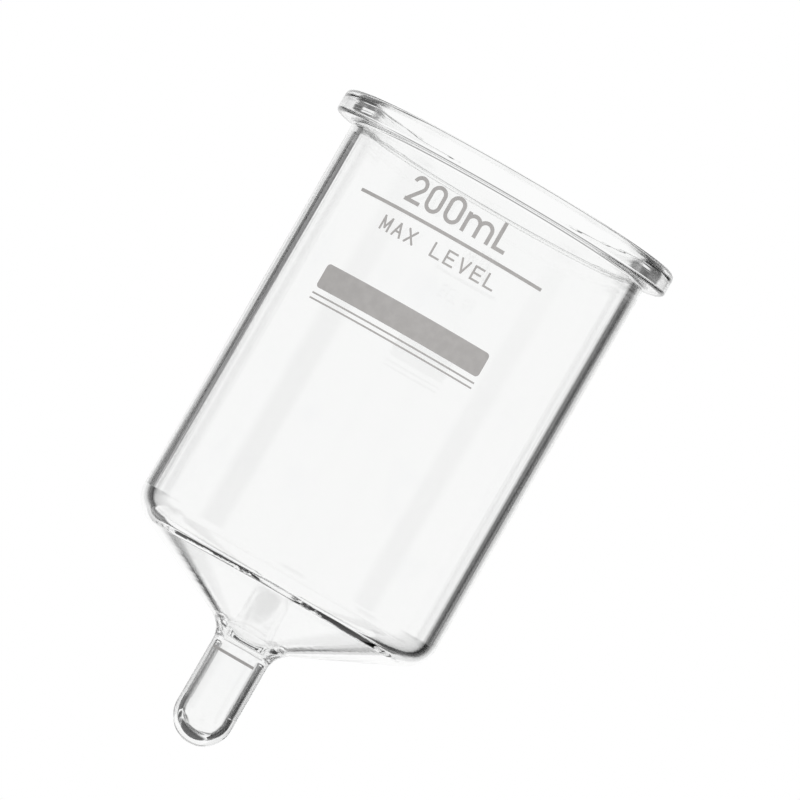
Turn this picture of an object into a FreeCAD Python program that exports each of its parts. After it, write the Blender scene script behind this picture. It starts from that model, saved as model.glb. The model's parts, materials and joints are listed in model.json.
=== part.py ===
# Solvent concentrator cup: a flanged glass barrel with a coned heel that
# gathers the last of the liquid in a closed, round-ended stem.
#
# Frame: +Z is the axis of the cup, mouth upwards. The origin is the centre of
# the flange's underside, the face that the cup hangs by. The printing faces -Y.
# Lengths are in millimetres and angles in degrees.
import FreeCAD, Part
import os
from math import acos, atan2, cos, degrees, hypot, pi, radians, sin

import Sketcher

V = FreeCAD.Vector
UP = V(0, 0, 1)
OUT = V(0, -1, 0)
FULL_TURN = 360
LEVEL_SLACK = 1e-6
MM3_PER_ML = 1000

# A sketch's own names for its axes and for the ends of an edge.
H_AXIS = -1
V_AXIS = -2
START = 1
END = 2

os.makedirs("parts", exist_ok=True)
doc = FreeCAD.newDocument("concentrator_cup")


# ---------------------------------------------------------------- sizes

SIZES = {
    # rim
    "flange_overhang": (3.9, "how far the flange stands out from the barrel"),
    "flange_thickness": (4.75, "seat face to mouth face"),
    "flange_top_round": (1.2, "fire-polished edge round the top of the flange"),
    "flange_foot_round": (0.8, "edge round the seat face"),
    "mouth_round": (0.9, "fire-polished edge of the mouth, inside"),
    "neck_fillet": (0.8, "fillet between seat face and barrel"),
    "collar_drop": (2.5, "seat face down to the seal with the barrel tube"),
    # barrel and heel
    "barrel_diameter": (63.0, "outside of the barrel tube"),
    "wall": (2.25, "glass of the barrel, shoulder and cone"),
    "shoulder_round": (6.7, "outside radius where the barrel turns into the cone"),
    "cone_slope": (25.0, "fall of the cone below level, degrees"),
    # stem
    "throat_round": (4.8, "outside radius where the cone turns into the stem"),
    "throat_lip_round": (3.5, "inside radius at the top of the stem's bore"),
    "stem_diameter": (11.7, "outside of the stem tube"),
    "stem_wall": (1.5, "glass of the stem tube"),
    "stem_length": (22.2, "sharp cone-to-stem corner down to the tip"),
    "tip_floor": (2.0, "glass under the stem's bore"),
    # contents
    "capacity_ml": (200.0, "liquid held up to the fill line, millilitres"),
    "headspace": (11.6, "fill line up to the seat face"),
    "endpoint_height": (16.2, "stem line above the floor of the bore"),
    # printing
    "enamel": (0.05, "thickness of the fired enamel"),
    "fill_line_length": (41.5, "measured round the barrel"),
    "fill_line_width": (0.65, "stroke"),
    "numeral_height": (5.5, "capacity numerals"),
    "numeral_width": (3.4, "one numeral"),
    "numeral_stroke": (0.75, "stroke"),
    "numeral_gap": (1.6, "numerals above the fill line"),
    "caption_height": (2.9, "caption letters"),
    "caption_width": (2.1, "one caption letter"),
    "caption_stroke": (0.4, "stroke"),
    "caption_gap": (1.75, "caption below the fill line"),
    "letter_gap": (0.75, "between letters and numerals"),
    "unit_m_width": (5.9, "the m of the unit"),
    "unit_m_height": (4.0, "the m of the unit"),
    "panel_length": (36.8, "marking panel, measured round the barrel"),
    "panel_height": (4.9, "marking panel"),
    "panel_corner": (0.8, "corner radius of the marking panel"),
    "panel_gap": (10.0, "marking panel below the caption"),
    "rule_width": (0.33, "stroke of the writing rules"),
    "rule_pitch": (1.05, "from one writing rule to the next"),
    "rule_gap": (1.2, "first writing rule below the marking panel"),
    "stem_line_length": (9.8, "measured round the stem"),
    "stem_line_width": (0.55, "stroke"),
}


CAPTION = "MAX LEVEL"


def make_sheet(name, cells):
    """A sheet of (value, note) cells, each under its own alias."""
    sheet = doc.addObject("Spreadsheet::Sheet", name)
    for row, (alias, (value, note)) in enumerate(cells.items(), start=1):
        sheet.set(f"A{row}", alias)
        sheet.set(f"B{row}", str(value))
        sheet.set(f"C{row}", note)
        sheet.setAlias(f"B{row}", alias)
    doc.recompute()
    return sheet


def formulas(cells):
    """The same cells as formulas, each with an empty note."""
    return {alias: ("=" + formula, "") for alias, formula in cells.items()}


sizes = make_sheet("Sizes", SIZES)

# The heel is everything below the straight barrel. Its radii and heights are
# counted from the heel corner, where the outsides of the barrel and the cone
# would meet sharp. "lean" is the half turn from vertical wall to cone.
HEEL = {
    "barrel_radius": "Sizes.barrel_diameter / 2",
    "bore_radius": "barrel_radius - Sizes.wall",
    "stem_radius": "Sizes.stem_diameter / 2",
    "stem_bore_radius": "stem_radius - Sizes.stem_wall",
    "fall": "tan(Sizes.cone_slope * 1 deg)",
    "normal_out": "sin(Sizes.cone_slope * 1 deg)",
    "normal_down": "cos(Sizes.cone_slope * 1 deg)",
    "lean": "tan((90 - Sizes.cone_slope) / 2 * 1 deg)",
    # shoulder: both faces turn about one centre
    "shoulder_x": "barrel_radius - Sizes.shoulder_round",
    "shoulder_z": "Sizes.shoulder_round * lean",
    "shoulder_inner": "Sizes.shoulder_round - Sizes.wall",
    "cone_top_x": "shoulder_x + Sizes.shoulder_round * normal_out",
    "cone_top_z": "shoulder_z - Sizes.shoulder_round * normal_down",
    "floor_top_x": "shoulder_x + shoulder_inner * normal_out",
    "floor_top_z": "shoulder_z - shoulder_inner * normal_down",
    # throat: the outside turns about a centre in the air, the lip about one in the glass
    "stem_corner_z": "-(barrel_radius - stem_radius) * fall",
    "throat_x": "stem_radius + Sizes.throat_round",
    "throat_z": "stem_corner_z - Sizes.throat_round * lean",
    "cone_foot_x": "throat_x - Sizes.throat_round * normal_out",
    "cone_foot_z": "throat_z + Sizes.throat_round * normal_down",
    "floor_foot_x": "cone_foot_x - Sizes.wall * normal_out",
    "floor_foot_z": "cone_foot_z + Sizes.wall * normal_down",
    "lip_x": "stem_bore_radius + Sizes.throat_lip_round",
    "lip_z": "stem_corner_z + (lip_x - stem_radius) * fall"
    " + (Sizes.wall - Sizes.throat_lip_round) / normal_down",
    "lip_top_x": "lip_x - Sizes.throat_lip_round * normal_out",
    "lip_top_z": "lip_z + Sizes.throat_lip_round * normal_down",
    # tip
    "tip_z": "stem_corner_z - Sizes.stem_length",
    "tip_ball_z": "tip_z + stem_radius",
    "floor_z": "tip_z + Sizes.tip_floor",
    "floor_ball_z": "floor_z + stem_bore_radius",
    "tip_seam_z": "tip_ball_z + Sizes.tip_floor",
    "stem_line_z": "floor_z + Sizes.endpoint_height",
}
heel = make_sheet("Heel", formulas(HEEL))


# ---------------------------------------------------------------- turned glass

AXIS = "0"


class Arc:
    """The round way to an outline's next corner: its radius, and whether it turns left."""

    def __init__(self, radius, left=True):
        self.radius = radius
        self.left = left


def value_of(owner, expression):
    return float(owner.evalExpression(expression))


def centre_of(start, end, arc_radius, left):
    """Centre of the arc, under half a turn, that runs from start to end."""
    chord = end - start
    rise = max(arc_radius**2 - chord.Length**2 / 4, 0) ** 0.5
    side = V(-chord.y, chord.x, 0).normalize()
    return (start + end) / 2 + side * (rise if left else -rise)


def add_edge(sketch, start, end, arc):
    """Draws one stretch of outline. Returns its index and which end comes first and last."""
    if arc is None:
        return sketch.addGeometry(Part.LineSegment(start, end)), START, END
    radius = value_of(sketch, arc.radius)
    circle = Part.Circle(centre_of(start, end, radius, arc.left), UP, radius)
    first, last = (start, end) if arc.left else (end, start)
    curve = Part.ArcOfCircle(circle, circle.parameter(first), circle.parameter(last))
    index = sketch.addGeometry(curve)
    size = sketch.addConstraint(Sketcher.Constraint("Radius", index, radius))
    sketch.setExpression(f"Constraints[{size}]", arc.radius)
    return (index, START, END) if arc.left else (index, END, START)


def pin_corner(sketch, index, end, corner, point):
    """Ties one corner's radius and height to their expressions."""
    for kind, expression, value, axis in (
        ("DistanceX", corner[0], point.x, V_AXIS),
        ("DistanceY", corner[1], point.y, H_AXIS),
    ):
        if expression == AXIS:
            sketch.addConstraint(Sketcher.Constraint("PointOnObject", index, end, axis))
            continue
        pin = Sketcher.Constraint(kind, H_AXIS, START, index, end, value)
        sketch.setExpression(f"Constraints[{sketch.addConstraint(pin)}]", expression)


def outline_sketch(body, outline):
    """A closed outline in the XZ plane, anticlockwise: (radius, height) or (radius, height, Arc)."""
    plane = next(f for f in body.Origin.OriginFeatures if f.Role == "XZ_Plane")
    sketch = body.newObject("Sketcher::SketchObject", f"{body.Name}_outline")
    sketch.AttachmentSupport = [(plane, "")]
    sketch.MapMode = "FlatFace"
    points = [V(value_of(sketch, c[0]), value_of(sketch, c[1]), 0) for c in outline]
    edges = [
        add_edge(sketch, point, following, corner[2] if len(corner) > 2 else None)
        for corner, point, following in zip(outline, points, points[1:] + points[:1])
    ]
    for i, (index, first, _) in enumerate(edges):
        before, _, its_last = edges[i - 1]
        meet = Sketcher.Constraint("Coincident", before, its_last, index, first)
        sketch.addConstraint(meet)
        pin_corner(sketch, index, first, outline[i], points[i])
    return sketch


def turned(name, outline, sweep=None):
    """A body turned about Z from its outline: all the way, or a sweep centred on +X."""
    body = doc.addObject("PartDesign::Body", name)
    body.Label = name
    sketch = outline_sketch(body, outline)
    turn = body.newObject("PartDesign::Revolution", f"{name}_turn")
    turn.Profile = sketch
    turn.ReferenceAxis = (sketch, ["V_Axis"])
    turn.Angle = FULL_TURN
    if sweep:
        turn.Midplane = True
        turn.setExpression("Angle", sweep)
    doc.recompute()
    return body


# The liquid space below the straight barrel. It is no piece of the cup: its
# volume sets how long the barrel must be to hold the capacity.
heel_space = turned(
    "heel_space",
    [
        (AXIS, "Heel.floor_z", Arc("Heel.stem_bore_radius")),
        ("Heel.stem_bore_radius", "Heel.floor_ball_z"),
        ("Heel.stem_bore_radius", "Heel.lip_z", Arc("Sizes.throat_lip_round", left=False)),
        ("Heel.lip_top_x", "Heel.lip_top_z"),
        ("Heel.floor_top_x", "Heel.floor_top_z", Arc("Heel.shoulder_inner")),
        ("Heel.bore_radius", "Heel.shoulder_z"),
        (AXIS, "Heel.shoulder_z"),
    ],
)

# Heights above the seat face.
LEVELS = {
    "flange_radius": "Heel.barrel_radius + Sizes.flange_overhang",
    "fill_level": "-Sizes.headspace",
    "barrel_filled": f"(Sizes.capacity_ml * {MM3_PER_ML} - heel_space.Shape.Volume)"
    " / (pi * Heel.bore_radius ^ 2)",
    "barrel_foot": "fill_level - barrel_filled",
    "heel_level": "barrel_foot - Heel.shoulder_z",
    "numeral_base": "fill_level + Sizes.fill_line_width / 2 + Sizes.numeral_gap",
    "caption_base": "fill_level - Sizes.fill_line_width / 2 - Sizes.caption_gap"
    " - Sizes.caption_height",
    "panel_base": "caption_base - Sizes.panel_gap - Sizes.panel_height",
    "upper_rule_level": "panel_base - Sizes.rule_gap",
    "lower_rule_level": "upper_rule_level - Sizes.rule_pitch",
}
levels = make_sheet("Levels", formulas(LEVELS))

rim_flange = turned(
    "rim_flange",
    [
        ("Heel.bore_radius", "-Sizes.collar_drop"),
        ("Heel.barrel_radius", "-Sizes.collar_drop"),
        ("Heel.barrel_radius", "-Sizes.neck_fillet", Arc("Sizes.neck_fillet", left=False)),
        ("Heel.barrel_radius + Sizes.neck_fillet", AXIS),
        ("Levels.flange_radius - Sizes.flange_foot_round", AXIS, Arc("Sizes.flange_foot_round")),
        ("Levels.flange_radius", "Sizes.flange_foot_round"),
        (
            "Levels.flange_radius",
            "Sizes.flange_thickness - Sizes.flange_top_round",
            Arc("Sizes.flange_top_round"),
        ),
        ("Levels.flange_radius - Sizes.flange_top_round", "Sizes.flange_thickness"),
        (
            "Heel.bore_radius + Sizes.mouth_round",
            "Sizes.flange_thickness",
            Arc("Sizes.mouth_round"),
        ),
        ("Heel.bore_radius", "Sizes.flange_thickness - Sizes.mouth_round"),
    ],
)

barrel = turned(
    "barrel",
    [
        ("Heel.bore_radius", "Levels.barrel_foot"),
        ("Heel.barrel_radius", "Levels.barrel_foot"),
        ("Heel.barrel_radius", "-Sizes.collar_drop"),
        ("Heel.bore_radius", "-Sizes.collar_drop"),
    ],
)

shoulder = turned(
    "shoulder",
    [
        ("Heel.floor_top_x", "Heel.floor_top_z"),
        ("Heel.cone_top_x", "Heel.cone_top_z", Arc("Sizes.shoulder_round")),
        ("Heel.barrel_radius", "Heel.shoulder_z"),
        ("Heel.bore_radius", "Heel.shoulder_z", Arc("Heel.shoulder_inner", left=False)),
    ],
)

cone = turned(
    "cone",
    [
        ("Heel.floor_foot_x", "Heel.floor_foot_z"),
        ("Heel.cone_foot_x", "Heel.cone_foot_z"),
        ("Heel.cone_top_x", "Heel.cone_top_z"),
        ("Heel.floor_top_x", "Heel.floor_top_z"),
    ],
)

throat = turned(
    "throat",
    [
        ("Heel.stem_bore_radius", "Heel.throat_z"),
        ("Heel.stem_radius", "Heel.throat_z", Arc("Sizes.throat_round", left=False)),
        ("Heel.cone_foot_x", "Heel.cone_foot_z"),
        ("Heel.floor_foot_x", "Heel.floor_foot_z"),
        ("Heel.lip_top_x", "Heel.lip_top_z", Arc("Sizes.throat_lip_round")),
        ("Heel.stem_bore_radius", "Heel.lip_z"),
    ],
)

stem_tube = turned(
    "stem_tube",
    [
        ("Heel.stem_bore_radius", "Heel.tip_seam_z"),
        ("Heel.stem_radius", "Heel.tip_seam_z"),
        ("Heel.stem_radius", "Heel.throat_z"),
        ("Heel.stem_bore_radius", "Heel.throat_z"),
    ],
)

stem_tip = turned(
    "stem_tip",
    [
        (AXIS, "Heel.tip_z", Arc("Heel.stem_radius")),
        ("Heel.stem_radius", "Heel.tip_ball_z"),
        ("Heel.stem_radius", "Heel.tip_seam_z"),
        ("Heel.stem_bore_radius", "Heel.tip_seam_z"),
        ("Heel.stem_bore_radius", "Heel.floor_ball_z", Arc("Heel.stem_bore_radius", left=False)),
        (AXIS, "Heel.floor_z"),
    ],
)

for piece in (shoulder, cone, throat, stem_tube, stem_tip):
    piece.setExpression("Placement.Base.z", "Levels.heel_level")


# ---------------------------------------------------------------- fired enamel

TO_FRONT = FreeCAD.Rotation(V(1, 0, 0), OUT)


def enamel_band(name, radius, level, width, length):
    """A stroke of enamel that runs round the front of a tube of this radius."""
    outer = f"{radius} + Sizes.enamel"
    low = f"{level} - {width} / 2"
    high = f"{level} + {width} / 2"
    outline = [(radius, low), (outer, low), (outer, high), (radius, high)]
    band = turned(name, outline, sweep=f"{length} / ({radius}) * 180 / pi * 1 deg")
    band.Placement = FreeCAD.Placement(V(), TO_FRONT)
    return band


def round_corners(body, radius):
    """Rounds the upright corners of a patch, which are the edges that run outwards."""
    patch = body.Tip
    corners = [
        f"Edge{number}"
        for number, edge in enumerate(patch.Shape.Edges, start=1)
        if abs(edge.tangentAt(edge.FirstParameter).z) < LEVEL_SLACK
        and edge.Curve.TypeId == "Part::GeomLine"
    ]
    soft = body.newObject("PartDesign::Fillet", f"{body.Name}_corners")
    soft.Base = (patch, corners)
    soft.setExpression("Radius", radius)
    doc.recompute()


fill_line = enamel_band(
    "fill_line",
    "Heel.barrel_radius",
    "Levels.fill_level",
    "Sizes.fill_line_width",
    "Sizes.fill_line_length",
)
marking_panel = enamel_band(
    "marking_panel",
    "Heel.barrel_radius",
    "(Levels.panel_base + Sizes.panel_height / 2)",
    "Sizes.panel_height",
    "Sizes.panel_length",
)
round_corners(marking_panel, "Sizes.panel_corner")
rules = [
    enamel_band(
        f"{place}_writing_rule",
        "Heel.barrel_radius",
        f"Levels.{place}_rule_level",
        "Sizes.rule_width",
        "Sizes.panel_length",
    )
    for place in ("upper", "lower")
]
stem_line = enamel_band(
    "stem_line",
    "Heel.stem_radius",
    "Heel.stem_line_z",
    "Sizes.stem_line_width",
    "Sizes.stem_line_length",
)
stem_line.setExpression("Placement.Base.z", "Levels.heel_level")


def flat(x, z):
    return V(x, 0, z)


class Pen:
    """Draws flat strokes of one width, given by their centre lines, in the XZ plane."""

    def __init__(self, stroke):
        self.half = stroke / 2

    def bar(self, start, end, overrun=True):
        """A straight stroke. Overrunning its ends by half a stroke fills sharp corners."""
        run = hypot(end[0] - start[0], end[1] - start[1])
        spare = self.half if overrun else 0
        corner = flat(-spare, -self.half)
        stroke = Part.makePlane(run + 2 * spare, 2 * self.half, corner, OUT, flat(1, 0))
        turn = degrees(atan2(end[1] - start[1], end[0] - start[0]))
        stroke.rotate(V(), OUT, turn)
        stroke.translate(flat(*start))
        return stroke

    def bow(self, centre, radius, start, end):
        """A round stroke, anticlockwise from start to end, in degrees."""

        def point(side, angle):
            reach = radius + side * self.half
            return flat(*centre) + flat(cos(radians(angle)), sin(radians(angle))) * reach

        def edge(side):
            angles = (start, (start + end) / 2, end)
            return Part.Arc(*(point(side, angle) for angle in angles)).toShape()

        ends = [Part.makeLine(point(-1, angle), point(1, angle)) for angle in (start, end)]
        return Part.Face(Part.Wire(Part.__sortEdges__([edge(-1), edge(1), *ends])))

    def path(self, *corners):
        """Straight strokes from corner to corner."""
        return [self.bar(*pair) for pair in zip(corners, corners[1:])]


def ring(pen, centre, radius):
    return [pen.bow(centre, radius, 0, 180), pen.bow(centre, radius, 180, 360)]


def numeral(pen, digit, w, h):
    """The strokes of one digit, w wide and h tall between centre lines."""
    r = w / 2
    q = h / 4
    # the 2's neck meets its top bow where the line from its foot touches the circle
    touch = atan2(r - h, -r) + acos(r / hypot(r, h - r))
    neck = (r + r * cos(touch), h - r + r * sin(touch))
    strokes = {
        "0": [
            pen.bow((r, h - r), r, 0, 180),
            pen.bow((r, r), r, 180, 360),
            pen.bar((0, r), (0, h - r), overrun=False),
            pen.bar((w, r), (w, h - r), overrun=False),
        ],
        "1": pen.path((r / 2, h - r / 2), (r, h), (r, 0)),
        "2": [
            pen.bow((r, h - r), r, degrees(touch), 170),
            pen.bar(neck, (0, 0), overrun=False),
            *pen.path((0, 0), (w, 0)),
        ],
        "3": [pen.bow((w - q, 3 * q), q, -90, 165), pen.bow((w - q, q), q, -165, 90)],
        "4": pen.path((3 * r / 2, 0), (3 * r / 2, h), (0, q), (w, q)),
        "5": [*pen.path((w, h), (0, h), (0, h - r)), pen.bow((r, r), r, -160, 130)],
        "6": [*ring(pen, (r, r), r), pen.bar((0, r), (r, h))],
        "7": pen.path((0, h), (w, h), (r / 2, 0)),
        "8": [*ring(pen, (r, q), q), *ring(pen, (r, 3 * q), q)],
        "9": [*ring(pen, (r, h - r), r), pen.bar((w, h - r), (r, 0))],
    }
    return strokes[digit]


# Letters as centre lines, in shares of their width and height.
LETTERS = {
    " ": [],
    "A": [[(0, 0), (0.5, 1), (1, 0)], [(0.2, 0.35), (0.8, 0.35)]],
    "E": [[(1, 1), (0, 1), (0, 0), (1, 0)], [(0, 0.5), (0.85, 0.5)]],
    "L": [[(0, 1), (0, 0), (1, 0)]],
    "M": [[(0, 0), (0, 1), (0.5, 0.2), (1, 1), (1, 0)]],
    "V": [[(0, 1), (0.5, 0), (1, 1)]],
    "X": [[(0, 0), (1, 1)], [(0, 1), (1, 0)]],
}


def letter(pen, name, w, h):
    paths = [[(x * w, z * h) for x, z in line] for line in LETTERS[name]]
    return [stroke for path in paths for stroke in pen.path(*path)]


def small_m(pen, w, h):
    """The m of millilitre: a leg and two arches."""
    r = w / 4
    arches = [pen.bow((x, h - r), r, 0, 180) for x in (r, 3 * r)]
    legs = [pen.bar((x, -pen.half), (x, h - r), overrun=False) for x in (2 * r, 4 * r)]
    return [pen.bar((0, 0), (0, h)), *arches, *legs]


class Glyph:
    """A letter or numeral: its overall width, its height, and how it is drawn."""

    def __init__(self, width, height, draw):
        self.width = width
        self.height = height
        self.draw = draw


def wrapped(strokes, glyph, stroke, radius, enamel):
    """A glyph's strokes as a skin of enamel on the front of a tube of this radius."""
    corner = flat(-stroke / 2, -stroke / 2)
    frame = Part.makePlane(glyph.width, glyph.height, corner, OUT, flat(1, 0))
    face = strokes[0].multiFuse(strokes[1:]).common(frame).removeSplitter()
    face.translate(flat((stroke - glyph.width) / 2, stroke / 2))
    tube = Part.makeCylinder(radius, glyph.height)
    skin = Part.makeCylinder(radius + enamel, glyph.height).cut(tube)
    return face.extrude(OUT * (radius + 2 * enamel)).common(skin)


def enamel_word(name, glyphs, stroke, base, gap):
    """Glyphs in a row round the front of the barrel, each a solid of its own."""
    enamel = sizes.get("enamel")
    radius = heel.get("barrel_radius")
    pen = Pen(stroke)
    solids = []
    middle = -(sum(glyph.width for glyph in glyphs) + gap * (len(glyphs) - 1)) / 2
    for glyph in glyphs:
        middle += glyph.width / 2
        strokes = glyph.draw(pen, glyph.width - stroke, glyph.height - stroke)
        if strokes:
            skin = wrapped(strokes, glyph, stroke, radius, enamel)
            skin.rotate(V(), UP, degrees(middle / radius))
            solids += skin.Solids
        middle += glyph.width / 2 + gap
    feature = doc.addObject("Part::Feature", name)
    feature.Label = name
    feature.Shape = Part.makeCompound(solids)
    feature.Placement = FreeCAD.Placement(V(0, 0, base), FreeCAD.Rotation())
    return feature


def numeral_glyph(digit):
    return Glyph(
        sizes.get("numeral_width"),
        sizes.get("numeral_height"),
        lambda pen, w, h: numeral(pen, digit, w, h),
    )


def caption_glyph(name):
    return Glyph(
        sizes.get("caption_width"),
        sizes.get("caption_height"),
        lambda pen, w, h: letter(pen, name, w, h),
    )


unit_glyphs = [
    Glyph(
        sizes.get("unit_m_width"),
        sizes.get("unit_m_height"),
        small_m,
    ),
    Glyph(
        sizes.get("numeral_width") - sizes.get("numeral_stroke"),
        sizes.get("numeral_height"),
        lambda pen, w, h: letter(pen, "L", w, h),
    ),
]
capacity_numerals = enamel_word(
    "capacity_numerals",
    [numeral_glyph(digit) for digit in str(round(sizes.get("capacity_ml")))] + unit_glyphs,
    sizes.get("numeral_stroke"),
    levels.get("numeral_base"),
    sizes.get("letter_gap"),
)
level_caption = enamel_word(
    "level_caption",
    [caption_glyph(name) for name in CAPTION],
    sizes.get("caption_stroke"),
    levels.get("caption_base"),
    sizes.get("letter_gap"),
)


# ---------------------------------------------------------------- hand-over

NODES = [
    rim_flange,
    barrel,
    shoulder,
    cone,
    throat,
    stem_tube,
    stem_tip,
    capacity_numerals,
    fill_line,
    level_caption,
    marking_panel,
    *rules,
    stem_line,
]

doc.recompute()
failed = [o.Name for o in doc.Objects if {"Invalid", "Error"} & set(o.State)]
if failed:
    raise RuntimeError(f"these objects failed: {failed}")
for node in NODES:
    if node.Shape.isNull() or not node.Shape.isValid():
        raise RuntimeError(f"{node.Label} has no valid shape")
for node in NODES:
    node.Shape.exportStep(f"parts/{node.Label}.step")
    print(f"{node.Label}: {len(node.Shape.Solids)} solid, {node.Shape.Volume:.2f} mm3")
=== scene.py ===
# %% [markdown]
# # A solvent concentrator cup in clear glass
#
# The cup is turned and blown from borosilicate tube: a flanged rim, a straight
# barrel, a rounded shoulder, a shallow cone, a throat and a closed round-ended
# stem, flame-sealed end to end. Its capacity mark, caption, writing panel and
# stem line are printed in grey enamel and fired on.
#
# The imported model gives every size. This file gives the cup its looks: the
# glass is worked out again as smooth surfaces, because glass shows every facet
# of its mesh, and the enamel gets its fired finish.

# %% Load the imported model
import json
import math

import bpy
import numpy as np
from mathutils import Matrix, Vector


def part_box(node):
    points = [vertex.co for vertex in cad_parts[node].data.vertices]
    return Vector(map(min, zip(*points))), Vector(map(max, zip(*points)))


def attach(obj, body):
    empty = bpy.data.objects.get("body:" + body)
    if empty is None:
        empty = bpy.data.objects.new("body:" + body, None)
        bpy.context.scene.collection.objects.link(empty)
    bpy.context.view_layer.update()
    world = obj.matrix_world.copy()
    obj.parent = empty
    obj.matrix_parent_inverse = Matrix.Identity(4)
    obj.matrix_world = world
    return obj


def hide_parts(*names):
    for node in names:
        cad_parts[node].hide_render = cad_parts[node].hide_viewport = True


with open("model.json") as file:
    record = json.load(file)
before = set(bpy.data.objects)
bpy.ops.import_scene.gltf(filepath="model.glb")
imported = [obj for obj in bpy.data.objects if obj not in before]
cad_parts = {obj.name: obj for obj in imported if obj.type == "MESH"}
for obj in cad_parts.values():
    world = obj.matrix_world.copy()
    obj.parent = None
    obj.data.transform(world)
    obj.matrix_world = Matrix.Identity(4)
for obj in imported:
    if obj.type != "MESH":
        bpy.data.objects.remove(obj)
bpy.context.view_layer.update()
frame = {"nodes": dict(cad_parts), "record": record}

print("packed nodes:", ", ".join(sorted(frame["nodes"])))

# %% [markdown]
# ## Sizes
#
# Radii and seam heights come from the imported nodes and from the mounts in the
# record. Only the rounds and the slope of the cone, which no box shows, are
# named here again.

# %% Sizes from the frame
MM = 0.001


def mount_radius(name):
    """Radius of one of the record's round mounts, in metres."""
    mount = next(m for m in frame["record"]["mounts"] if m["name"] == name)
    return mount["dims"]["r_mm"] * MM


def foot(node):
    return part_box(node)[0].z


def top(node):
    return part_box(node)[1].z


BARREL_R = mount_radius("barrel_outside")
BORE_R = mount_radius("barrel_bore")
STEM_R = mount_radius("stem_outside")
STEM_BORE_R = mount_radius("stem_bore")
FLANGE_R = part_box("rim_flange")[1].x
WALL = BARREL_R - BORE_R
MOUTH_Z = top("rim_flange")
COLLAR_Z = foot("rim_flange")
SHOULDER_Z = foot("barrel")
THROAT_Z = foot("throat")
TIP_SEAM_Z = top("stem_tip")
TIP_Z = foot("stem_tip")
print(f"barrel {2 * BARREL_R / MM:.1f} mm, wall {WALL / MM:.2f} mm, tip at {TIP_Z / MM:.1f} mm")

# %% Rounds and slope, named as the model names them
FLANGE_TOP_ROUND = 1.2 * MM
FLANGE_FOOT_ROUND = 0.8 * MM
MOUTH_ROUND = 0.9 * MM
NECK_FILLET = 0.8 * MM
SHOULDER_ROUND = 6.7 * MM
THROAT_ROUND = 4.8 * MM
LIP_ROUND = 3.5 * MM
TIP_FLOOR = 2.0 * MM
CONE_SLOPE = 25.0

OUTWARD = math.sin(math.radians(CONE_SLOPE))
DOWNWARD = math.cos(math.radians(CONE_SLOPE))
print(f"shoulder round {SHOULDER_ROUND / MM:.1f} mm, cone {CONE_SLOPE:.0f} degrees below level")

# %% [markdown]
# ## Outlines
#
# Every glass section is a surface of revolution, so it starts as an outline in
# the plane of radius and height. The outline runs anticlockwise, with the glass
# on its left, so the outward normal is always to the right of travel. Each
# stretch of outline keeps its own exact normals: a smooth-shaded mesh would
# guess them from its facets, and the eye sees such guesses in refraction.


# %% Stretches of outline
def run(start, end, steps=1):
    """A straight stretch: points spaced evenly from start to end, all with the
    normal to the right of travel. Returns (points, normals)."""
    start, end = np.array(start, float), np.array(end, float)
    share = np.linspace(0, 1, steps + 1)[:, None]
    along = (end - start) / np.linalg.norm(end - start)
    normal = np.array([along[1], -along[0]])
    return start + share * (end - start), np.tile(normal, (steps + 1, 1))


def bend(centre, radius, first, last, step=3.0):
    """A round stretch from angle first to last, in degrees: centre + radius times
    (cos, sin). Its normal points away from the centre where it turns left, and
    towards the centre where it turns right. Returns (points, normals)."""
    count = max(2, round(abs(last - first) / step))
    angle = np.radians(np.linspace(first, last, count + 1))
    spoke = np.stack([np.cos(angle), np.sin(angle)], axis=1)
    return np.array(centre) + radius * spoke, spoke if last > first else -spoke


# %% [markdown]
# ## Turning an outline into a mesh
#
# The surface is a grid: one parameter runs along the outline and the other
# round the axis. All points are worked out at once as arrays. A point on the
# axis would repeat round the whole turn, so such a pole is one shared vertex
# with a fan of triangles.
#
# Where two sections meet, the real glass is one melt and has no surface at all.
# Each section still needs an end face to be a closed solid, so that face gets a
# material of its own that lets light straight through.

# %% The lathe
TURN_STEPS = 288
AXIS_REACH = 1e-9


def corner_numbers(on_axis):
    """Vertex number of each grid point, ring by ring. A ring on the axis has
    one number all the way round."""
    sizes = np.where(on_axis, 1, TURN_STEPS)
    firsts = np.concatenate([[0], np.cumsum(sizes)[:-1]])
    around = np.arange(TURN_STEPS + 1) % TURN_STEPS
    return firsts[:, None] + np.where(on_axis[:, None], 0, around[None, :])


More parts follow.
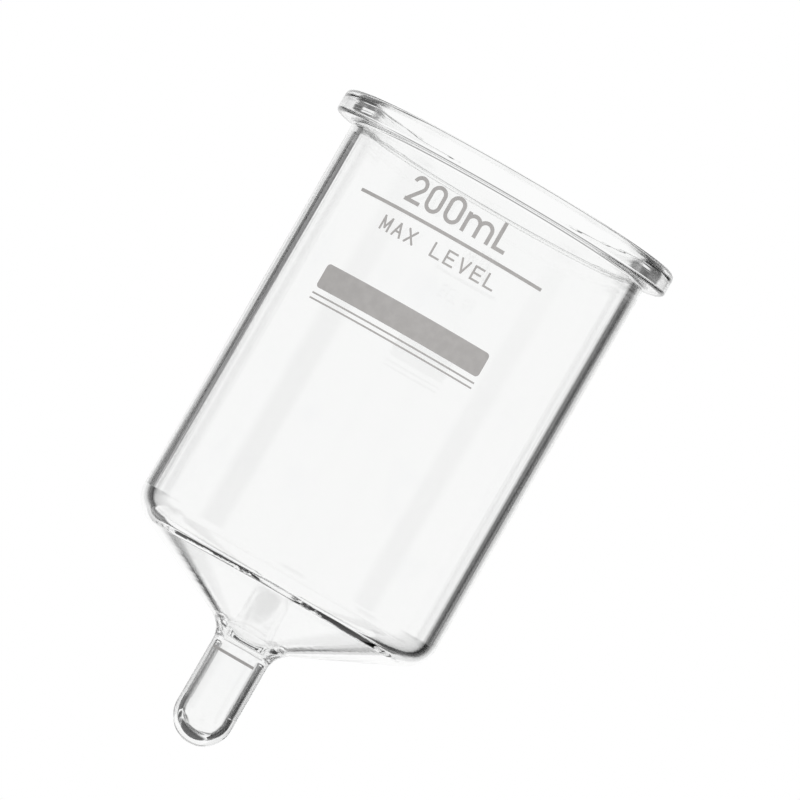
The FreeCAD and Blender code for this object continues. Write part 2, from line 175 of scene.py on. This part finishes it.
def turned_piece(name, stretches, seams, glass, seal):
    """A closed mesh turned from an outline. A point at radius r, height z and
    turn t is (r cos t, r sin t, z), and its normal turns with it.
    stretches is the outline's list of (points, normals), and seams the set of
    stretches that are end faces."""
    points = np.concatenate([p[:-1] for p, _ in stretches])
    if points[0, 0] < AXIS_REACH:
        points = np.concatenate([points, stretches[-1][0][-1:]])
    on_axis = points[:, 0] < AXIS_REACH
    turn = np.linspace(0, 2 * np.pi, TURN_STEPS, endpoint=False)
    spokes = np.stack([np.cos(turn), np.sin(turn)], axis=1)
    rings = np.empty((len(points), TURN_STEPS, 3))
    rings[..., :2] = points[:, None, :1] * spokes
    rings[..., 2] = points[:, 1:]
    keep = ~on_axis[:, None] | (np.arange(TURN_STEPS) == 0)
    number = corner_numbers(on_axis)

    faces, normals, slots = [], [], []
    ring = 0
    ends = np.concatenate([spokes, spokes[:1]])
    for index, (stretch, outward) in enumerate(stretches):
        for step in range(len(stretch) - 1):
            after = (ring + 1) % len(points)
            low, high = number[ring], number[after]
            quad = np.stack([low[:-1], low[1:], high[1:], high[:-1]], axis=1)
            pair = outward[[step, step, step + 1, step + 1]]
            spoke = np.stack([ends[:-1], ends[1:], ends[1:], ends[:-1]], axis=1)
            level = pair[None, :, :1] * spoke
            rise = np.broadcast_to(pair[None, :, 1:], spoke[..., :1].shape)
            normal = np.concatenate([level, rise], axis=2)
            if on_axis[ring]:
                quad, normal = quad[:, [0, 2, 3]], normal[:, [0, 2, 3]]
            elif on_axis[after]:
                quad, normal = quad[:, :3], normal[:, :3]
            faces.append(quad)
            normals.append(normal)
            slots.append(np.full(len(quad), int(index in seams)))
            ring += 1

    mesh = bpy.data.meshes.new(name)
    mesh.from_pydata(rings[keep], [], [face for group in faces for face in group.tolist()])
    mesh.materials.append(glass)
    mesh.materials.append(seal)
    mesh.polygons.foreach_set("material_index", np.concatenate(slots).astype(np.int32))
    mesh.polygons.foreach_set("use_smooth", np.ones(len(mesh.polygons), bool))
    mesh.normals_split_custom_set(np.concatenate([n.reshape(-1, 3) for n in normals]))
    mesh.update()
    piece = bpy.data.objects.new(name, mesh)
    bpy.context.scene.collection.objects.link(piece)
    return piece


# %% [markdown]
# ## Nodes
#
# Materials and the studio are node trees. Two small helpers place a node, set
# or link its inputs in one call, and do arithmetic, so that a tree reads like a
# recipe.

# %% Node helpers
def place(tree, kind, inputs=None, **settings):
    """Add a node. Each input takes a number, or another node's output to link."""
    made = tree.nodes.new(kind)
    for name, value in settings.items():
        setattr(made, name, value)
    for name, value in (inputs or {}).items():
        if isinstance(value, bpy.types.NodeSocket):
            tree.links.new(value, made.inputs[name])
        else:
            made.inputs[name].default_value = value
    return made


def maths(tree, operation, *values):
    return place(tree, "ShaderNodeMath", dict(enumerate(values)), operation=operation).outputs[0]


def smooth(tree, value, start, end, low=0.0, high=1.0):
    """A smooth step from low to high as the value goes from start to end."""
    limits = {"Value": value, "From Min": start, "From Max": end, "To Min": low, "To Max": high}
    step = place(tree, "ShaderNodeMapRange", limits, interpolation_type="SMOOTHSTEP")
    return step.outputs["Result"]


def new_material(name):
    """An empty node material, with its tree and its output node."""
    material = bpy.data.materials.new(name)
    material.use_nodes = True
    material.node_tree.nodes.clear()
    return material, material.node_tree, material.node_tree.nodes.new("ShaderNodeOutputMaterial")


# %% [markdown]
# ## Glass
#
# Borosilicate bends light with an index of 1.47. Drawn tube carries faint lines
# along its length from the drawing, and glass turned in the flame carries faint
# rings from the paddle. Handling leaves a few dull smudges. One node group
# gives all three, and each glass sets how strong they are.
#
# The lines follow the turn round the axis and the rings follow radius and
# height, so both come from Object coordinates and stay put when the cup moves.

# %% Marks on the glass
LINE_COUNT = 26.0
LINE_DRIFT = 9.0
RING_SCALE = 620.0
SMUDGE_SCALE = 70.0
SMUDGE_START = 0.56
SMUDGE_FULL = 0.72
CLOSEST = 0.01 * MM


def noise(tree, where, scale, detail):
    look = {"Vector": where, "Scale": scale, "Detail": detail}
    return place(tree, "ShaderNodeTexNoise", look).outputs[0]


def glass_marks():
    """Height from draw lines and paddle rings, and a mask of smudges."""
    group = bpy.data.node_groups.new("glass_marks", "ShaderNodeTree")
    for name in ("Lines", "Rings"):
        group.interface.new_socket(name, in_out="INPUT", socket_type="NodeSocketFloat")
    for name in ("Height", "Smudge"):
        group.interface.new_socket(name, in_out="OUTPUT", socket_type="NodeSocketFloat")
    asked = group.nodes.new("NodeGroupInput").outputs
    given = group.nodes.new("NodeGroupOutput").inputs
    where = place(group, "ShaderNodeTexCoord").outputs["Object"]
    x, y, z = place(group, "ShaderNodeSeparateXYZ", {0: where}).outputs
    level = place(group, "ShaderNodeCombineXYZ", {"X": x, "Y": y}).outputs[0]
    radius = place(group, "ShaderNodeVectorMath", {0: level}, operation="LENGTH").outputs["Value"]
    reach = maths(group, "MAXIMUM", radius, CLOSEST)

    round_x = maths(group, "DIVIDE", maths(group, "MULTIPLY", x, LINE_COUNT), reach)
    round_y = maths(group, "DIVIDE", maths(group, "MULTIPLY", y, LINE_COUNT), reach)
    along = maths(group, "MULTIPLY", z, LINE_DRIFT)
    line_place = place(group, "ShaderNodeCombineXYZ", {"X": round_x, "Y": round_y, "Z": along})
    lines = noise(group, line_place.outputs[0], scale=1.0, detail=2.0)

    outward = maths(group, "MULTIPLY", radius, RING_SCALE)
    upward = maths(group, "MULTIPLY", z, RING_SCALE)
    turned = maths(group, "DIVIDE", x, reach)
    ring_place = place(group, "ShaderNodeCombineXYZ", {"X": outward, "Y": upward, "Z": turned})
    rings = noise(group, ring_place.outputs[0], scale=1.0, detail=2.0)

    line_height = maths(group, "MULTIPLY", lines, asked["Lines"])
    ring_height = maths(group, "MULTIPLY", rings, asked["Rings"])
    group.links.new(maths(group, "ADD", line_height, ring_height), given["Height"])
    smudges = noise(group, where, SMUDGE_SCALE, detail=4.0)
    group.links.new(smooth(group, smudges, SMUDGE_START, SMUDGE_FULL), given["Smudge"])
    return group


# %% Clear glass
BENDING = 1.47
MARK_DEPTH = 0.012 * MM
THIN_TINT = (0.965, 0.967, 0.965, 1)
SMUDGE_TINT = (0.948, 0.952, 0.953, 1)
SMUDGE_ROUGHNESS = 0.02


def clear_glass(name, marks, lines, rings):
    """Clear borosilicate with this share of draw lines and of paddle rings."""
    material, tree, output = new_material(name)
    seen = place(tree, "ShaderNodeGroup", node_tree=marks)
    seen.inputs["Lines"].default_value = lines
    seen.inputs["Rings"].default_value = rings
    tint = place(tree, "ShaderNodeMix", {"Factor": seen.outputs["Smudge"]}, data_type="RGBA")
    tint.inputs["A"].default_value = THIN_TINT
    tint.inputs["B"].default_value = SMUDGE_TINT
    dull = smooth(tree, seen.outputs["Smudge"], 0.0, 1.0, 0.0, SMUDGE_ROUGHNESS)
    marked = {"Height": seen.outputs["Height"], "Strength": 1.0, "Distance": MARK_DEPTH}
    relief = place(tree, "ShaderNodeBump", marked)
    look = {
        "Base Color": tint.outputs["Result"],
        "Roughness": dull,
        "IOR": BENDING,
        "Transmission Weight": 1.0,
        "Normal": relief.outputs[0],
    }
    glass = place(tree, "ShaderNodeBsdfPrincipled", look)
    tree.links.new(glass.outputs["BSDF"], output.inputs["Surface"])
    return material


def open_seal():
    """The end face between two fused sections: light goes straight through."""
    material, tree, output = new_material("fused_seal")
    through = place(tree, "ShaderNodeBsdfTransparent")
    tree.links.new(through.outputs["BSDF"], output.inputs["Surface"])
    return material


marks = glass_marks()
drawn_glass = clear_glass("drawn_borosilicate", marks, lines=1.0, rings=0.1)
worked_glass = clear_glass("flame_worked_borosilicate", marks, lines=0.2, rings=1.0)
seal = open_seal()
print("glasses:", drawn_glass.name, "and", worked_glass.name)

# %% [markdown]
# ## The seven glass sections
#
# The inner and outer rounds of the shoulder share a centre, so the wall stays
# even there. Each sloping stretch of the cone touches its rounds squarely.

# %% Centres and corners of the heel
shoulder_x = BARREL_R - SHOULDER_ROUND
shoulder_in = SHOULDER_ROUND - WALL
stem_corner_z = SHOULDER_Z - SHOULDER_ROUND * math.tan(math.radians(90 - CONE_SLOPE) / 2)
stem_corner_z -= (BARREL_R - STEM_R) * math.tan(math.radians(CONE_SLOPE))
throat_x = STEM_R + THROAT_ROUND
lip_x = STEM_BORE_R + LIP_ROUND
lip_z = stem_corner_z + (lip_x - STEM_R) * OUTWARD / DOWNWARD + (WALL - LIP_ROUND) / DOWNWARD


def off(centre_x, centre_z, reach):
    """The point at this reach from a centre, square to the cone, downwards."""
    return centre_x + reach * OUTWARD, centre_z - reach * DOWNWARD


cone_top = off(shoulder_x, SHOULDER_Z, SHOULDER_ROUND)
floor_top = off(shoulder_x, SHOULDER_Z, shoulder_in)
cone_foot = off(throat_x, THROAT_Z, -THROAT_ROUND)
floor_foot = off(*cone_foot, -WALL)
lip_top = off(lip_x, lip_z, -LIP_ROUND)
AWAY = 90 + CONE_SLOPE
DOWN = CONE_SLOPE - 90
print(f"floor of the cone from {floor_top[0] / MM:.1f} mm out to {floor_foot[0] / MM:.1f} mm out")

# %% Turn the sections
flange_foot_x = FLANGE_R - FLANGE_FOOT_ROUND
flange_top_x = FLANGE_R - FLANGE_TOP_ROUND
flange_top_z = MOUTH_Z - FLANGE_TOP_ROUND
mouth_x = BORE_R + MOUTH_ROUND
mouth_z = MOUTH_Z - MOUTH_ROUND

OUTLINES = {
    "rim_flange": (
        [
            run((BORE_R, COLLAR_Z), (BARREL_R, COLLAR_Z)),
            run((BARREL_R, COLLAR_Z), (BARREL_R, -NECK_FILLET)),
            bend((BARREL_R + NECK_FILLET, -NECK_FILLET), NECK_FILLET, 180, 90),
            run((BARREL_R + NECK_FILLET, 0), (flange_foot_x, 0)),
            bend((flange_foot_x, FLANGE_FOOT_ROUND), FLANGE_FOOT_ROUND, -90, 0),
            run((FLANGE_R, FLANGE_FOOT_ROUND), (FLANGE_R, flange_top_z)),
            bend((flange_top_x, flange_top_z), FLANGE_TOP_ROUND, 0, 90),
            run((flange_top_x, MOUTH_Z), (mouth_x, MOUTH_Z)),
            bend((mouth_x, mouth_z), MOUTH_ROUND, 90, 180),
            run((BORE_R, mouth_z), (BORE_R, COLLAR_Z)),
        ],
        {0},
    ),
    "barrel": (
        [
            run((BORE_R, SHOULDER_Z), (BARREL_R, SHOULDER_Z)),
            run((BARREL_R, SHOULDER_Z), (BARREL_R, COLLAR_Z)),
            run((BARREL_R, COLLAR_Z), (BORE_R, COLLAR_Z)),
            run((BORE_R, COLLAR_Z), (BORE_R, SHOULDER_Z)),
        ],
        {0, 2},
    ),
    "shoulder": (
        [
            run(floor_top, cone_top),
            bend((shoulder_x, SHOULDER_Z), SHOULDER_ROUND, DOWN, 0),
            run((BARREL_R, SHOULDER_Z), (BORE_R, SHOULDER_Z)),
            bend((shoulder_x, SHOULDER_Z), shoulder_in, 0, DOWN),
        ],
        {0, 2},
    ),
    "cone": (
        [
            run(floor_foot, cone_foot),
            run(cone_foot, cone_top),
            run(cone_top, floor_top),
            run(floor_top, floor_foot),
        ],
        {0, 2},
    ),
    "throat": (
        [
            run((STEM_BORE_R, THROAT_Z), (STEM_R, THROAT_Z)),
            bend((throat_x, THROAT_Z), THROAT_ROUND, 180, AWAY),
            run(cone_foot, floor_foot),
            run(floor_foot, lip_top),
            bend((lip_x, lip_z), LIP_ROUND, AWAY, 180),
            run((STEM_BORE_R, lip_z), (STEM_BORE_R, THROAT_Z)),
        ],
        {0, 2},
    ),
    "stem_tube": (
        [
            run((STEM_BORE_R, TIP_SEAM_Z), (STEM_R, TIP_SEAM_Z)),
            run((STEM_R, TIP_SEAM_Z), (STEM_R, THROAT_Z)),
            run((STEM_R, THROAT_Z), (STEM_BORE_R, THROAT_Z)),
            run((STEM_BORE_R, THROAT_Z), (STEM_BORE_R, TIP_SEAM_Z)),
        ],
        {0, 2},
    ),
    "stem_tip": (
        [
            bend((0, TIP_Z + STEM_R), STEM_R, -90, 0),
            run((STEM_R, TIP_Z + STEM_R), (STEM_R, TIP_SEAM_Z)),
            run((STEM_R, TIP_SEAM_Z), (STEM_BORE_R, TIP_SEAM_Z)),
            run((STEM_BORE_R, TIP_SEAM_Z), (STEM_BORE_R, TIP_Z + TIP_FLOOR + STEM_BORE_R)),
            bend((0, TIP_Z + TIP_FLOOR + STEM_BORE_R), STEM_BORE_R, 0, -90),
        ],
        {2},
    ),
}

DRAWN = {"barrel", "stem_tube"}

for node, (stretches, seams) in OUTLINES.items():
    glass = drawn_glass if node in DRAWN else worked_glass
    piece = turned_piece(f"{node}_glass", stretches, seams, glass, seal)
    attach(piece, "root")
    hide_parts(node)
    low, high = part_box(node)
    made = np.array([v.co for v in piece.data.vertices])
    gap = max(np.abs(made.min(0) - low).max(), np.abs(made.max(0) - high).max())
    print(f"{piece.name}: {len(piece.data.polygons)} faces, {gap / MM:.3f} mm off the packed box")

# %% [markdown]
# ## Enamel
#
# The printing is ceramic ink, pushed through a fine screen and fired. It dries
# a little unevenly, so its grey is faintly mottled, and its fired surface is
# matt with tiny pits where the ink bubbled.

# %% Grey enamel
MOTTLE_SCALE = 650.0
PIT_SCALE = 5200.0
PIT_DEPTH = 0.006 * MM
PIT_EDGE = 0.35
THIN_FROM, THIN_TO = 0.3, 0.7
INK_THICK = (0.288, 0.279, 0.273, 1)
INK_THIN = (0.318, 0.308, 0.302, 1)
GLOSSIEST, MATTEST = 0.48, 0.66


def grey_enamel():
    """Matt grey ceramic ink, mottled where it dried thin and pitted all over."""
    material, tree, output = new_material("grey_enamel")
    where = place(tree, "ShaderNodeTexCoord").outputs["Object"]
    mottle = noise(tree, where, MOTTLE_SCALE, detail=5.0)
    pits = place(tree, "ShaderNodeTexVoronoi", {"Vector": where, "Scale": PIT_SCALE})
    thin = smooth(tree, mottle, THIN_FROM, THIN_TO)
    ink = place(tree, "ShaderNodeMix", {"Factor": thin}, data_type="RGBA")
    ink.inputs["A"].default_value = INK_THICK
    ink.inputs["B"].default_value = INK_THIN
    rise = maths(tree, "ADD", mottle, smooth(tree, pits.outputs["Distance"], 0.0, PIT_EDGE))
    relief = place(tree, "ShaderNodeBump", {"Height": rise, "Strength": 1.0, "Distance": PIT_DEPTH})
    look = {
        "Base Color": ink.outputs["Result"],
        "Roughness": smooth(tree, mottle, THIN_FROM, THIN_TO, GLOSSIEST, MATTEST),
        "Normal": relief.outputs[0],
    }
    enamel = place(tree, "ShaderNodeBsdfPrincipled", look)
    tree.links.new(enamel.outputs["BSDF"], output.inputs["Surface"])
    return material


PRINTING = [
    "capacity_numerals",
    "fill_line",
    "level_caption",
    "marking_panel",
    "upper_writing_rule",
    "lower_writing_rule",
    "stem_line",
]
enamel = grey_enamel()
for node in PRINTING:
    mesh = frame["nodes"][node].data
    mesh.materials.clear()
    mesh.materials.append(enamel)
print(f"{enamel.name} on {len(PRINTING)} prints")

# %% [markdown]
# ## Camera
#
# A long lens looks level with the heel of the cup from a little to its right,
# and is rolled so that the cup leans.

# %% Camera
CAMERA_AZIMUTH = math.radians(10.2)
CAMERA_DISTANCE = 1.340
CAMERA_ROLL = math.radians(30)
EYE_LEVEL = -0.0825
AIM_LEVEL = -0.0412
AIM_ASIDE = 0.00225
SENSOR = 36.0
FRAME_WIDTH = 0.1501

camera_data = bpy.data.cameras.new("camera")
camera_data.sensor_width = SENSOR
camera_data.lens = SENSOR * CAMERA_DISTANCE / FRAME_WIDTH
camera_data.clip_start = 0.05
camera_data.clip_end = 50
camera = bpy.data.objects.new("camera", camera_data)
bpy.context.scene.collection.objects.link(camera)

sideways = Vector((math.cos(CAMERA_AZIMUTH), math.sin(CAMERA_AZIMUTH), 0))
towards = Vector((math.sin(CAMERA_AZIMUTH), -math.cos(CAMERA_AZIMUTH), 0))
stand = towards * CAMERA_DISTANCE + Vector((0, 0, EYE_LEVEL))
target = sideways * AIM_ASIDE + Vector((0, 0, AIM_LEVEL))
back = (stand - target).normalized()
level = Vector((0, 0, 1)).cross(back).normalized()
upright = back.cross(level)
right = level * math.cos(CAMERA_ROLL) + upright * math.sin(CAMERA_ROLL)
up = upright * math.cos(CAMERA_ROLL) - level * math.sin(CAMERA_ROLL)
camera.matrix_world = Matrix.Translation(stand) @ Matrix((right, up, back)).transposed().to_4x4()
bpy.context.scene.camera = camera
print(f"lens {camera_data.lens:.0f} mm, {CAMERA_DISTANCE:.2f} m from the cup")

# %% [markdown]
# ## Studio
#
# Clear glass on white shows only what it bends into view. A glass photographer
# stands it in a white tent, with black cards just out of frame: the middle of
# the glass stays bright, and its thick walls, which bend light by 20 degrees or
# more, pick up the cards as dark lines.
#
# The tent is the world. Each card is a patch of it, given by its bearing from
# the camera's heading (left is positive) and its elevation, both in degrees,
# with soft edges. A card's lean slides it sideways as it rises. The cards beside
# the rim, the barrel and the stem draw the walls. Those above the rim and below
# the heel draw the rounded edges. A few more stand round the sides and back, so
# that the walls read from every side.

# %% Cards
CARDS = {
    # name: (bearing, half width, softness, elevation, half height, softness, lean, tone)
    "left of the rim": (47.0, 19.5, 3.0, 5.6, 2.15, 0.08, 0.0, 0.20),
    "right of the rim": (-44.0, 22.5, 3.0, 5.6, 2.15, 0.08, 0.0, 0.15),
    "above the rim": (-8.0, 30.0, 3.0, 30.0, 8.0, 2.0, 0.0, 0.35),
    "left of the barrel": (28.9, 7.2, 2.5, 1.6, 1.9, 0.2, 1.25, 0.04),
    "right of the barrel": (-31.2, 11.0, 4.5, 1.6, 1.9, 0.2, 0.0, 0.07),
    "left of the stem": (43.0, 20.0, 5.0, -10.8, 10.5, 0.5, 0.0, 0.08),
    "right of the stem": (-48.0, 27.0, 5.0, -22.5, 22.2, 0.5, 0.0, 0.02),
    "left of the heel": (20.0, 9.0, 3.0, -23.5, 6.5, 1.5, 0.0, 0.10),
    "below the heel": (0.0, 22.0, 3.0, -28.0, 3.5, 1.0, 0.0, 0.10),
    "far left, low": (68.0, 9.0, 3.0, -25.0, 5.0, 2.0, 0.0, 0.15),
    "far left": (114.0, 10.0, 3.0, -4.0, 7.0, 2.0, 0.0, 0.15),
    "behind, left": (-177.0, 9.0, 3.0, -15.0, 6.0, 2.0, 0.0, 0.15),
    "behind, right": (-113.0, 9.0, 3.0, -15.0, 6.0, 2.0, 0.0, 0.15),
}

world = bpy.data.worlds.new("studio")
bpy.context.scene.world = world
world.use_nodes = True
tent = world.node_tree
tent.nodes.clear()

direction = place(tent, "ShaderNodeTexCoord").outputs["Generated"]
x, y, z = place(tent, "ShaderNodeSeparateXYZ", {0: direction}).outputs
turn = maths(tent, "ARCTAN2", maths(tent, "MULTIPLY", x, -1.0), y)
bearing = maths(tent, "SUBTRACT", maths(tent, "DEGREES", turn), math.degrees(CAMERA_AZIMUTH))
elevation = maths(tent, "DEGREES", maths(tent, "ARCSINE", z))


def near(value, centre, half, soft):
    """1 within half of the centre, fading to 0 over the softness. Angles wrap."""
    offset = maths(tent, "WRAP", maths(tent, "SUBTRACT", value, centre), 180.0, -180.0)
    return smooth(tent, maths(tent, "ABSOLUTE", offset), half - soft, half + soft, 1.0, 0.0)


white = 1.0
for aside, half_width, side_soft, rise, half_height, top_soft, lean, tone in CARDS.values():
    slide = maths(tent, "MULTIPLY", maths(tent, "SUBTRACT", elevation, rise), lean)
    across = near(maths(tent, "SUBTRACT", bearing, slide), aside, half_width, side_soft)
    cover = maths(tent, "MULTIPLY", across, near(elevation, rise, half_height, top_soft))
    dimmed = maths(tent, "SUBTRACT", 1.0, maths(tent, "MULTIPLY", cover, 1.0 - tone))
    white = maths(tent, "MULTIPLY", white, dimmed)

straight = place(tent, "ShaderNodeLightPath").outputs["Is Camera Ray"]
tone_seen = maths(tent, "MAXIMUM", white, straight)
background = place(tent, "ShaderNodeBackground", {"Color": (1, 1, 1, 1), "Strength": tone_seen})
tent.links.new(background.outputs[0], tent.nodes.new("ShaderNodeOutputWorld").inputs["Surface"])
print(f"{len(CARDS)} cards stand in the tent")

# %% [markdown]
# ## Floor and tip cards
#
# The floor is a wide pale disc well below the cup, so that no edge or horizon
# comes into view. It glows white instead of being lit, and is painted a little
# darker straight under the cup as a soft pool of painted shadow. Glass looks past
# it to the tent. Two small black discs under the tip do for the round end what
# the cards do for the walls. They are out of sight themselves, and they are black
# only for light that left the glass close by, so that they don't show through
# the cone.

# %% Floor and tip cards
FLOOR_Z = -0.25
FLOOR_R = 9.0
# Painted shadow on the floor: the glow's tone straight under the cup, and the reach over which it
# brightens to the tent's white.
FLOOR_SHADOW_TONE = 0.97
FLOOR_SHADOW_REACH = 0.6
TENT_TONE = 1.0
BLACK_TONE = 0.04
TIP_CARD_Z = TIP_Z - 4.5 * MM
TIP_SIGHT = 19.0 * MM
SIGHT_FADE = 3.0 * MM
TIP_CARDS = {
    # name: (left of the axis, beyond it, radius of the black core, radius), in mm
    "tip_card": (2.5, 6.5, 6.5, 9.0),
    "tip_side_card": (13.5, 13.0, 6.0, 8.0),
}
DISC_RINGS = 24
DISC_TURNS = 96


def glow(name, middle, edge, core, reach, centre=(0, 0, 0), sight=None):
    """A plain tone: middle within the core, and edge at the reach from the centre.
    With a sight, light that has come further than that since the glass finds white."""
    material, tree, output = new_material(name)
    where = place(tree, "ShaderNodeTexCoord").outputs["Object"]
    away = place(tree, "ShaderNodeVectorMath", {0: where, 1: centre}, operation="DISTANCE")
    tone = smooth(tree, away.outputs["Value"], core, reach, middle, edge)
    if sight:
        come = place(tree, "ShaderNodeLightPath").outputs["Ray Length"]
        tone = maths(tree, "MAXIMUM", tone, smooth(tree, come, sight, sight + SIGHT_FADE))
    light = place(tree, "ShaderNodeEmission", {"Color": (1, 1, 1, 1), "Strength": tone})
    tree.links.new(light.outputs[0], output.inputs["Surface"])
    material.cycles.emission_sampling = "NONE"
    return material


def disc(name, radius, centre, material):
    """A flat disc: ring radius r grows as the square of its share of the way out,
    so the middle is fine, and each ring point is centre + (r cos t, r sin t, 0)."""
    share = (np.arange(1, DISC_RINGS + 1) / DISC_RINGS) ** 2
    turn = np.linspace(0, 2 * np.pi, DISC_TURNS, endpoint=False)
    rim = np.stack([np.outer(share, np.cos(turn)), np.outer(share, np.sin(turn))], axis=2) * radius
    points = np.concatenate([rim, np.zeros(rim.shape[:2] + (1,))], axis=2).reshape(-1, 3) + centre
    number = np.arange(len(points)).reshape(DISC_RINGS, DISC_TURNS) + 1
    after = np.roll(number, -1, axis=1)
    quads = np.stack([number[:-1], number[1:], after[1:], after[:-1]], axis=2).reshape(-1, 4)
    fan = np.stack([np.zeros(DISC_TURNS, int), number[0], after[0]], axis=1)
    mesh = bpy.data.meshes.new(name)
    mesh.from_pydata([tuple(centre), *points.tolist()], [], [*fan.tolist(), *quads.tolist()])
    mesh.materials.append(material)
    made = bpy.data.objects.new(name, mesh)
    bpy.context.scene.collection.objects.link(made)
    made.visible_diffuse = False
    made.visible_shadow = False
    return made


# The floor glows white, with a pool of painted shadow under the cup.
pale = glow("floor_painted_shadow", FLOOR_SHADOW_TONE, TENT_TONE, core=0.0, reach=FLOOR_SHADOW_REACH)
floor = disc("floor", FLOOR_R, np.array((0, 0, FLOOR_Z)), pale)
floor.visible_glossy = False
floor.visible_transmission = False
for name, (left, beyond, core, radius) in TIP_CARDS.items():
    centre = np.array(-sideways * left * MM - towards * beyond * MM) + (0, 0, TIP_CARD_Z)
    spread = {"core": core * MM, "reach": radius * MM, "centre": tuple(centre)}
    black = glow(f"black_{name}", BLACK_TONE, TENT_TONE, **spread, sight=TIP_SIGHT)
    card = disc(name, radius * MM, centre, black)
    card.visible_camera = False
    card.visible_glossy = False
print(f"floor at {FLOOR_Z:.3f} m, {len(TIP_CARDS)} cards under the tip")

# %% [markdown]
# ## Lamp and light paths
#
# One large softbox lights the enamel from the front. Glass doesn't mirror it or
# let it through, so it leaves no glare.
#
# Light in glass turns many times before it comes out, so it is followed for 64
# bounces. What total reflection traps in the heel is given up after 18 of its
# turns. That stands for what real glass soaks up, and it keeps the heel dark.

# %% Softbox
LAMP_STAND = (0.2, -1.2, 0.6)
LAMP_AIM = (0, 0, -0.05)
LAMP_SIZE = 0.6
LAMP_POWER = 9

lamp_data = bpy.data.lights.new("front_softbox", "AREA")
lamp_data.size = LAMP_SIZE
lamp_data.energy = LAMP_POWER
lamp = bpy.data.objects.new("front_softbox", lamp_data)
lamp.location = LAMP_STAND
lamp.rotation_euler = (Vector(LAMP_AIM) - Vector(LAMP_STAND)).to_track_quat("-Z", "Y").to_euler()
lamp.visible_glossy = False
lamp.visible_transmission = False
bpy.context.scene.collection.objects.link(lamp)
print(f"{lamp.name}: {LAMP_SIZE:.1f} m across, {LAMP_POWER} W")

# %% Colour and light paths
MOST_BOUNCES = 64
TRAPPED_BOUNCES = 18
MOST_SEALS = 32

scene = bpy.context.scene
scene.view_settings.view_transform = "Standard"
scene.cycles.max_bounces = MOST_BOUNCES
scene.cycles.transmission_bounces = MOST_BOUNCES
scene.cycles.glossy_bounces = TRAPPED_BOUNCES
scene.cycles.transparent_max_bounces = MOST_SEALS
print(f"light followed for {MOST_BOUNCES} bounces")
